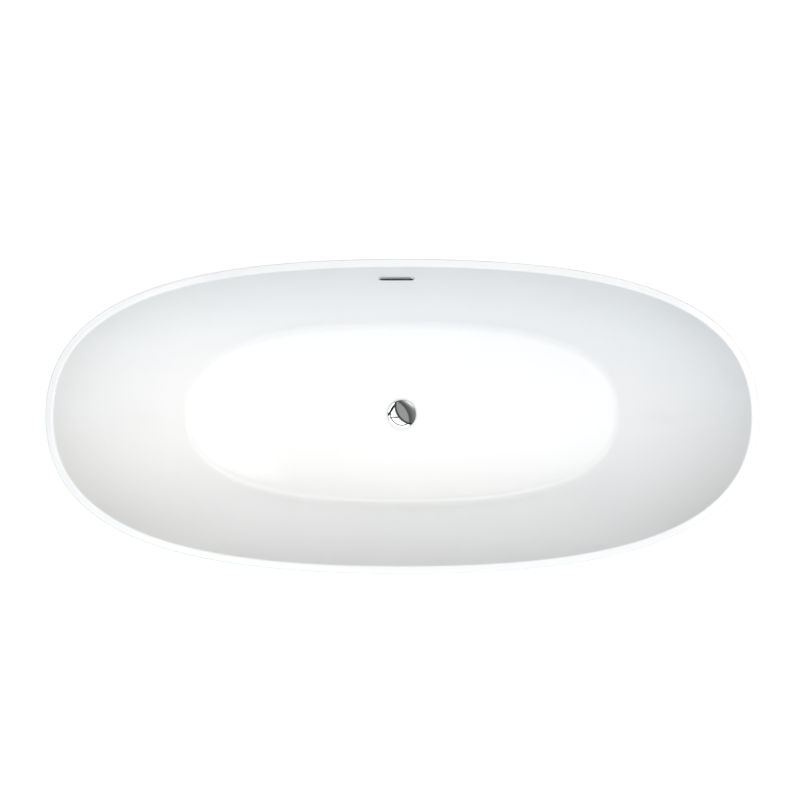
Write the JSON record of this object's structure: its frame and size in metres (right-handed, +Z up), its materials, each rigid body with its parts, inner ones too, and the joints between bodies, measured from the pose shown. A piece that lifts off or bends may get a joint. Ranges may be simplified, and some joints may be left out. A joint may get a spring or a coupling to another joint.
{
  "type": "freestanding bathtub",
  "caption": "Freestanding oval bathtub with a bowed skirt, narrow flat rim, central push plug, slot overflow in the back wall, hidden steel frame and adjustable feet.",
  "frame": {"origin": "on the ground under the middle of the tub, level with the soles of its feet", "axes": "+X along the length to the right, +Y towards the wall with the overflow slot, +Z up"},
  "size_m": [1.7, 0.75, 0.58],
  "materials": {
    "white_acrylic": "smooth gloss white acrylic",
    "white_adhesive": "cured white adhesive",
    "chipboard": "pressed board",
    "timber": "planed softwood",
    "frame_paint": "grey paint on steel tube",
    "zinc_steel": "bright zinc plate",
    "chrome": "polished chrome",
    "brass": "turned brass",
    "acetal": "moulded plastic",
    "spring_steel": "drawn wire",
    "black_rubber": "moulded rubber",
    "white_pipe": "moulded pipe fitting",
    "grey_pipe": "moulded pipe",
    "black_plastic": "moulded pipe fitting",
    "foot_plastic": "moulded plastic"
  },
  "bodies": {
    "tub": {"inner_tub": "white_acrylic", "outer_skirt": "white_acrylic", "rim_bond": "white_adhesive", "base_board": "chipboard", "base_ring": "timber", "frame_rail_front": "frame_paint", "frame_rail_back": "frame_paint", "cross_bar_left_end": "frame_paint", "cross_bar_left_mid": "frame_paint", "cross_bar_right_mid": "frame_paint", "cross_bar_right_end": "frame_paint", "bracket_front_left": "zinc_steel", "bracket_front_right": "zinc_steel", "bracket_back_left": "zinc_steel", "bracket_back_right": "zinc_steel", "frame_screws": "zinc_steel", "bracket_screws": "zinc_steel", "weld_nuts": "zinc_steel", "lock_nuts": "zinc_steel", "waste_flange": "chrome", "overflow_trim": "chrome", "click_cartridge": "acetal", "cartridge_spring": "spring_steel", "waste_top_seal": "black_rubber", "waste_bottom_seal": "black_rubber", "outlet_seal": "black_rubber", "overflow_seal": "black_rubber", "overflow_gasket": "black_rubber", "waste_body": "white_pipe", "outlet_nut": "white_pipe", "tail_pipe": "white_pipe", "overflow_housing": "black_plastic", "overflow_top_nut": "black_plastic", "overflow_bottom_nut": "white_pipe", "overflow_pipe": "grey_pipe"},
    "plug": {"plug_cap": "chrome", "plug_seal": "black_rubber", "plug_stem": "brass"},
    "cam": {"cam_rotor": "acetal"},
    "foot_front_left": {"foot_stud_front_left": "zinc_steel", "foot_pad_front_left": "foot_plastic"},
    "foot_front_right": {"foot_stud_front_right": "zinc_steel", "foot_pad_front_right": "foot_plastic"},
    "foot_back_left": {"foot_stud_back_left": "zinc_steel", "foot_pad_back_left": "foot_plastic"},
    "foot_back_right": {"foot_stud_back_right": "zinc_steel", "foot_pad_back_right": "foot_plastic"},
    "foot_mid_left": {"foot_stud_mid_left": "zinc_steel", "foot_pad_mid_left": "foot_plastic"},
    "foot_mid_right": {"foot_stud_mid_right": "zinc_steel", "foot_pad_mid_right": "foot_plastic"}
  },
  "joints": [
    {"name": "plug_slide", "type": "slide", "parent": "tub", "child": "plug", "axis": [0, 0, 1], "range_m": [0, 0.01], "deforming": ["cartridge_spring"]},
    {"name": "cam_spin", "type": "hinge", "parent": "plug", "child": "cam", "pos_m": [0, 0, 0.111], "axis": [0, 0, 1], "range_deg": [0, 30]},
    {"name": "level_front_left", "type": "slide", "parent": "tub", "child": "foot_front_left", "axis": [0, 0, -1], "range_m": [-0.004, 0.012]},
    {"name": "level_front_right", "type": "slide", "parent": "tub", "child": "foot_front_right", "axis": [0, 0, -1], "range_m": [-0.004, 0.012]},
    {"name": "level_back_left", "type": "slide", "parent": "tub", "child": "foot_back_left", "axis": [0, 0, -1], "range_m": [-0.004, 0.012]},
    {"name": "level_back_right", "type": "slide", "parent": "tub", "child": "foot_back_right", "axis": [0, 0, -1], "range_m": [-0.004, 0.012]},
    {"name": "level_mid_left", "type": "slide", "parent": "tub", "child": "foot_mid_left", "axis": [0, 0, -1], "range_m": [-0.004, 0.012]},
    {"name": "level_mid_right", "type": "slide", "parent": "tub", "child": "foot_mid_right", "axis": [0, 0, -1], "range_m": [-0.004, 0.012]}
  ],
  "couplings": [
    {"joint": "cam_spin", "follows": "plug_slide", "rad_per_m": 52.3}
  ]
}
